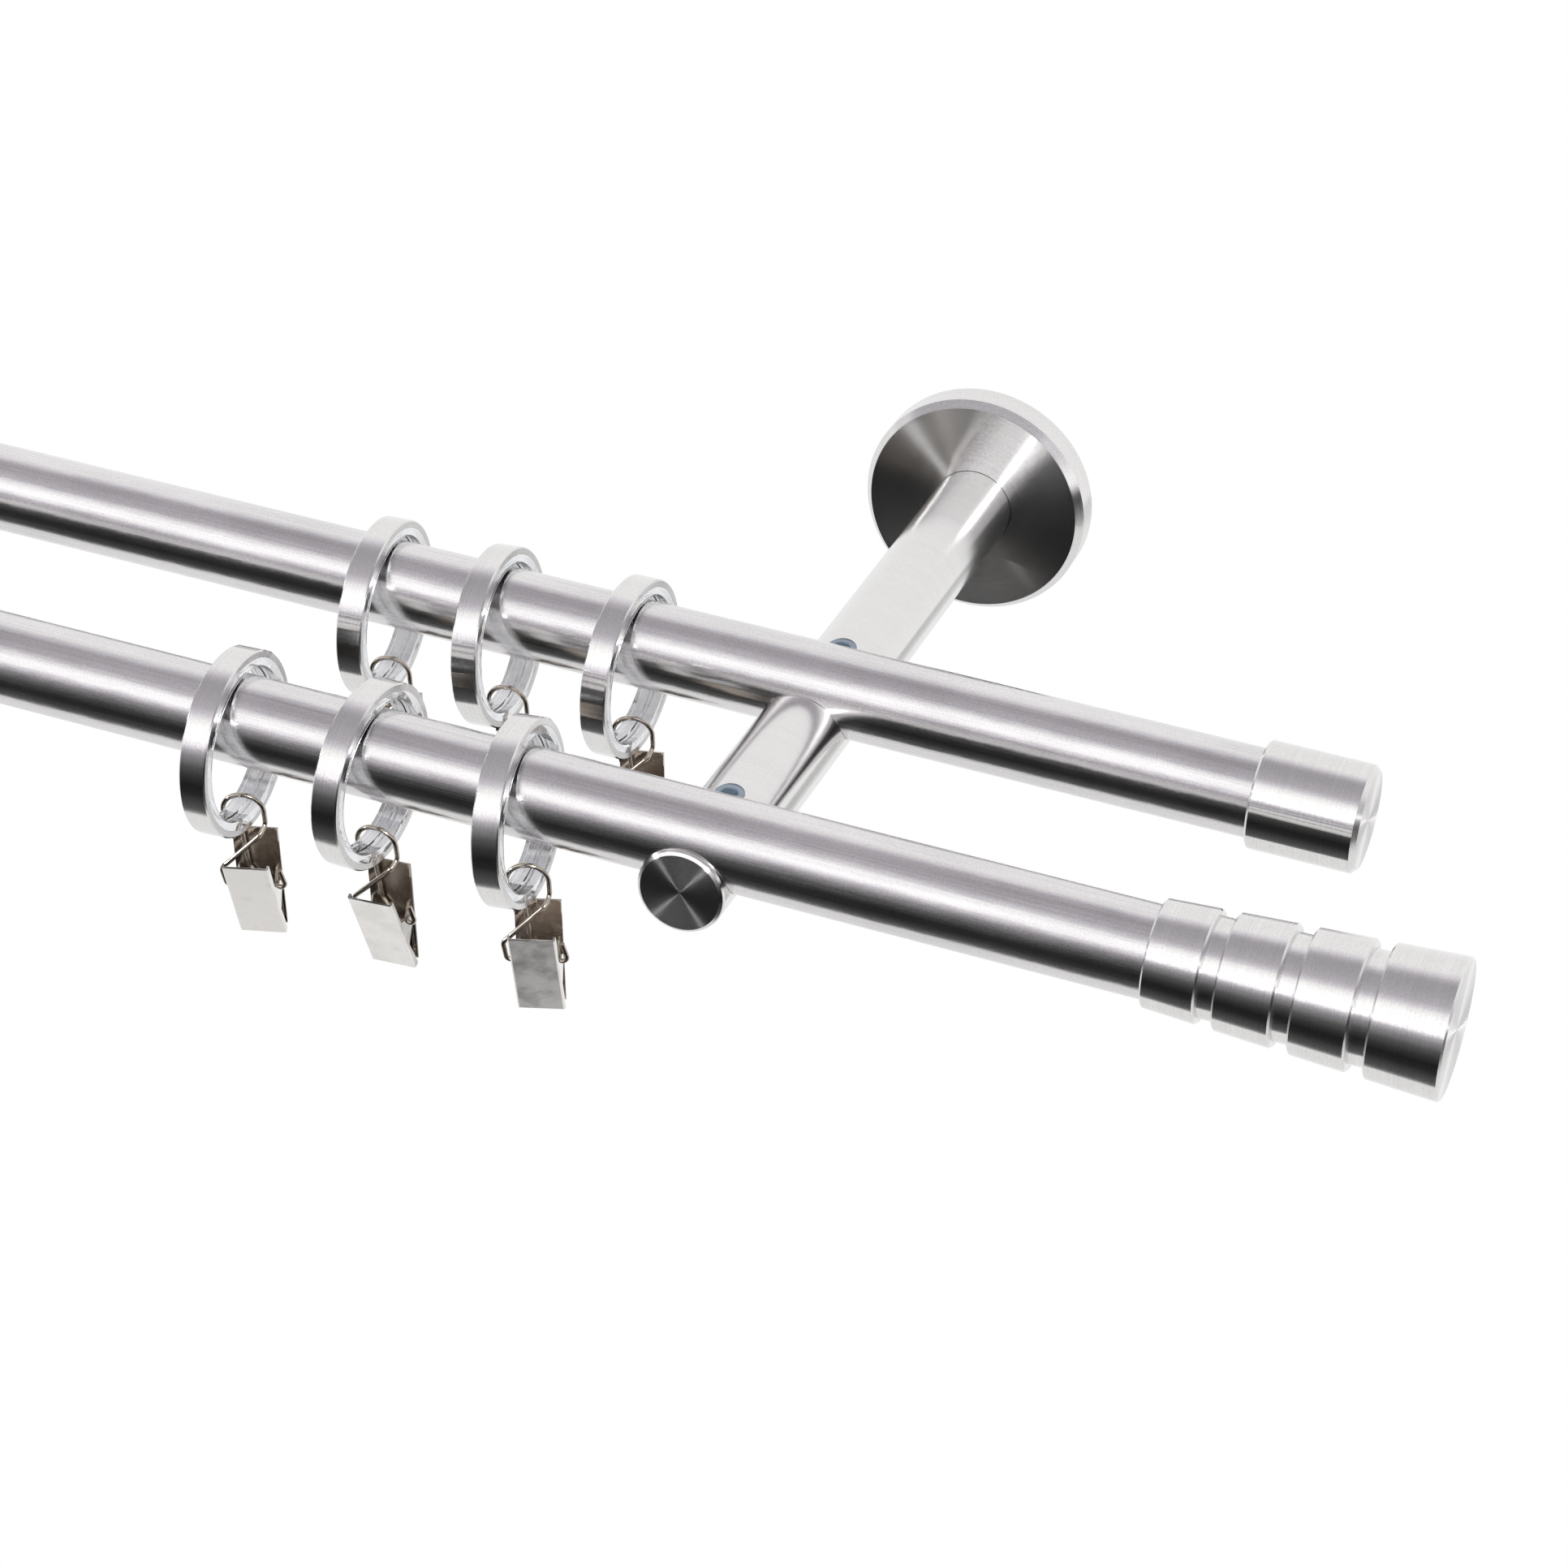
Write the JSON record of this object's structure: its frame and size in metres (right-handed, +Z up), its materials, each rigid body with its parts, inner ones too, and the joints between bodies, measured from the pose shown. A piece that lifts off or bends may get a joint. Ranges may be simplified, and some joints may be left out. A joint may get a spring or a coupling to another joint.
{
  "type": "double curtain pole",
  "caption": "Double curtain pole on a round wall bracket, with a grooved finial, a plain cap, lined rings and spring clips.",
  "frame": {"origin": "centre of the wall plate's back, in the plane of the wall", "axes": "+Y into the wall, so that the arm runs along -Y into the room; +X along the poles towards the cap and the finial; +Z up"},
  "size_m": [0.397, 0.2101, 0.0779],
  "materials": {
    "brushed_steel": "brushed",
    "zinc_steel": "zinc plated",
    "dark_steel": "blackened",
    "nickel": "nickel plated",
    "clear_plastic": "clear",
    "clear_blue_plastic": "clear"
  },
  "bodies": {
    "bracket": {"wall_plate": "zinc_steel", "rosette": "brushed_steel", "rosette_screw": "dark_steel", "arm_stud": "zinc_steel", "arm_bar": "brushed_steel", "rear_bush": "clear_blue_plastic", "front_bush": "clear_blue_plastic", "rear_saddle_screw": "dark_steel", "front_saddle_screw": "dark_steel", "rear_pole": "brushed_steel", "front_pole": "brushed_steel", "rear_cap": "brushed_steel", "front_finial": "brushed_steel", "cap_screw": "dark_steel", "finial_screw": "dark_steel"},
    "ring_front_1": {"ring_front_1": "nickel", "ring_front_1_liner": "clear_plastic"},
    "clip_front_1": {"clip_front_1_hanger": "nickel", "clip_front_1_back_jaw": "nickel"},
    "jaw_front_1": {"clip_front_1_front_jaw": "nickel"},
    "ring_front_2": {"ring_front_2": "nickel", "ring_front_2_liner": "clear_plastic"},
    "clip_front_2": {"clip_front_2_hanger": "nickel", "clip_front_2_back_jaw": "nickel"},
    "jaw_front_2": {"clip_front_2_front_jaw": "nickel"},
    "ring_front_3": {"ring_front_3": "nickel", "ring_front_3_liner": "clear_plastic"},
    "clip_front_3": {"clip_front_3_hanger": "nickel", "clip_front_3_back_jaw": "nickel"},
    "jaw_front_3": {"clip_front_3_front_jaw": "nickel"},
    "ring_rear_1": {"ring_rear_1": "nickel", "ring_rear_1_liner": "clear_plastic"},
    "clip_rear_1": {"clip_rear_1_hanger": "nickel", "clip_rear_1_back_jaw": "nickel"},
    "jaw_rear_1": {"clip_rear_1_front_jaw": "nickel"},
    "ring_rear_2": {"ring_rear_2": "nickel", "ring_rear_2_liner": "clear_plastic"},
    "clip_rear_2": {"clip_rear_2_hanger": "nickel", "clip_rear_2_back_jaw": "nickel"},
    "jaw_rear_2": {"clip_rear_2_front_jaw": "nickel"},
    "ring_rear_3": {"ring_rear_3": "nickel", "ring_rear_3_liner": "clear_plastic"},
    "clip_rear_3": {"clip_rear_3_hanger": "nickel", "clip_rear_3_back_jaw": "nickel"},
    "jaw_rear_3": {"clip_rear_3_front_jaw": "nickel"}
  },
  "joints": [
    {"name": "slide_front_1", "type": "slide", "parent": "bracket", "child": "ring_front_1", "axis": [1, 0, 0], "range_m": [-0.1, 0]},
    {"name": "swing_front_1", "type": "hinge", "parent": "ring_front_1", "child": "clip_front_1", "pos_m": [-0.10779, -0.18785, -0.01753], "axis": [-0.2322, 0.9627, 0.1387], "range_deg": [-6, 10]},
    {"name": "jaw_front_1", "type": "hinge", "parent": "clip_front_1", "child": "jaw_front_1", "pos_m": [-0.10471, -0.18713, -0.03652], "axis": [-0.9715, -0.2225, -0.0819], "range_deg": [0, 20], "stiffness_Nm_per_rad": 0.02, "springref_deg": -20.05},
    {"name": "slide_front_2", "type": "slide", "parent": "bracket", "child": "ring_front_2", "axis": [1, 0, 0], "range_m": [-0.006, 0]},
    {"name": "swing_front_2", "type": "hinge", "parent": "ring_front_2", "child": "clip_front_2", "pos_m": [-0.07588, -0.1871, -0.01742], "axis": [-0.0177, 0.9841, 0.1768], "range_deg": [-6, 10]},
    {"name": "jaw_front_2", "type": "hinge", "parent": "clip_front_2", "child": "jaw_front_2", "pos_m": [-0.07312, -0.18633, -0.03646], "axis": [-0.9981, -0.007, -0.061], "range_deg": [0, 20], "stiffness_Nm_per_rad": 0.02, "springref_deg": -20.05},
    {"name": "slide_front_3", "type": "slide", "parent": "bracket", "child": "ring_front_3", "axis": [1, 0, 0], "range_m": [-0.008, 0.024]},
    {"name": "swing_front_3", "type": "hinge", "parent": "ring_front_3", "child": "clip_front_3", "pos_m": [-0.04006, -0.18704, -0.01719], "axis": [-0.2673, 0.961, 0.0712], "range_deg": [-6, 10]},
    {"name": "jaw_front_3", "type": "hinge", "parent": "clip_front_3", "child": "jaw_front_3", "pos_m": [-0.03664, -0.18745, -0.03613], "axis": [-0.9616, -0.2613, -0.0837], "range_deg": [0, 20], "stiffness_Nm_per_rad": 0.02, "springref_deg": -20.05},
    {"name": "slide_rear_1", "type": "slide", "parent": "bracket", "child": "ring_rear_1", "axis": [1, 0, 0], "range_m": [-0.1, 0]},
    {"name": "swing_rear_1", "type": "hinge", "parent": "ring_rear_1", "child": "clip_rear_1", "pos_m": [-0.10459, -0.11894, -0.0176], "axis": [-0.1447, 0.9857, 0.0869], "range_deg": [-6, 10]},
    {"name": "jaw_rear_1", "type": "hinge", "parent": "clip_rear_1", "child": "jaw_rear_1", "pos_m": [-0.10155, -0.11952, -0.03661], "axis": [-0.9879, -0.1388, -0.0698], "range_deg": [0, 20], "stiffness_Nm_per_rad": 0.02, "springref_deg": -20.05},
    {"name": "slide_rear_2", "type": "slide", "parent": "bracket", "child": "ring_rear_2", "axis": [1, 0, 0], "range_m": [-0.004, 0]},
    {"name": "swing_rear_2", "type": "hinge", "parent": "ring_rear_2", "child": "clip_rear_2", "pos_m": [-0.07467, -0.11947, -0.0173], "axis": [-0.0763, 0.9933, 0.0869], "range_deg": [-6, 10]},
    {"name": "jaw_rear_2", "type": "hinge", "parent": "clip_rear_2", "child": "jaw_rear_2", "pos_m": [-0.07151, -0.12025, -0.03628], "axis": [-0.9945, -0.0695, -0.0785], "range_deg": [0, 20], "stiffness_Nm_per_rad": 0.02, "springref_deg": -20.05},
    {"name": "slide_rear_3", "type": "slide", "parent": "bracket", "child": "ring_rear_3", "axis": [1, 0, 0], "range_m": [-0.005, 0.027]},
    {"name": "swing_rear_3", "type": "hinge", "parent": "ring_rear_3", "child": "clip_rear_3", "pos_m": [-0.04372, -0.11873, -0.01763], "axis": [-0.179, 0.98, 0.0869], "range_deg": [-6, 10]},
    {"name": "jaw_rear_3", "type": "hinge", "parent": "clip_rear_3", "child": "jaw_rear_3", "pos_m": [-0.04066, -0.1192, -0.03663], "axis": [-0.9824, -0.1732, -0.0698], "range_deg": [0, 20], "stiffness_Nm_per_rad": 0.02, "springref_deg": -20.05}
  ]
}
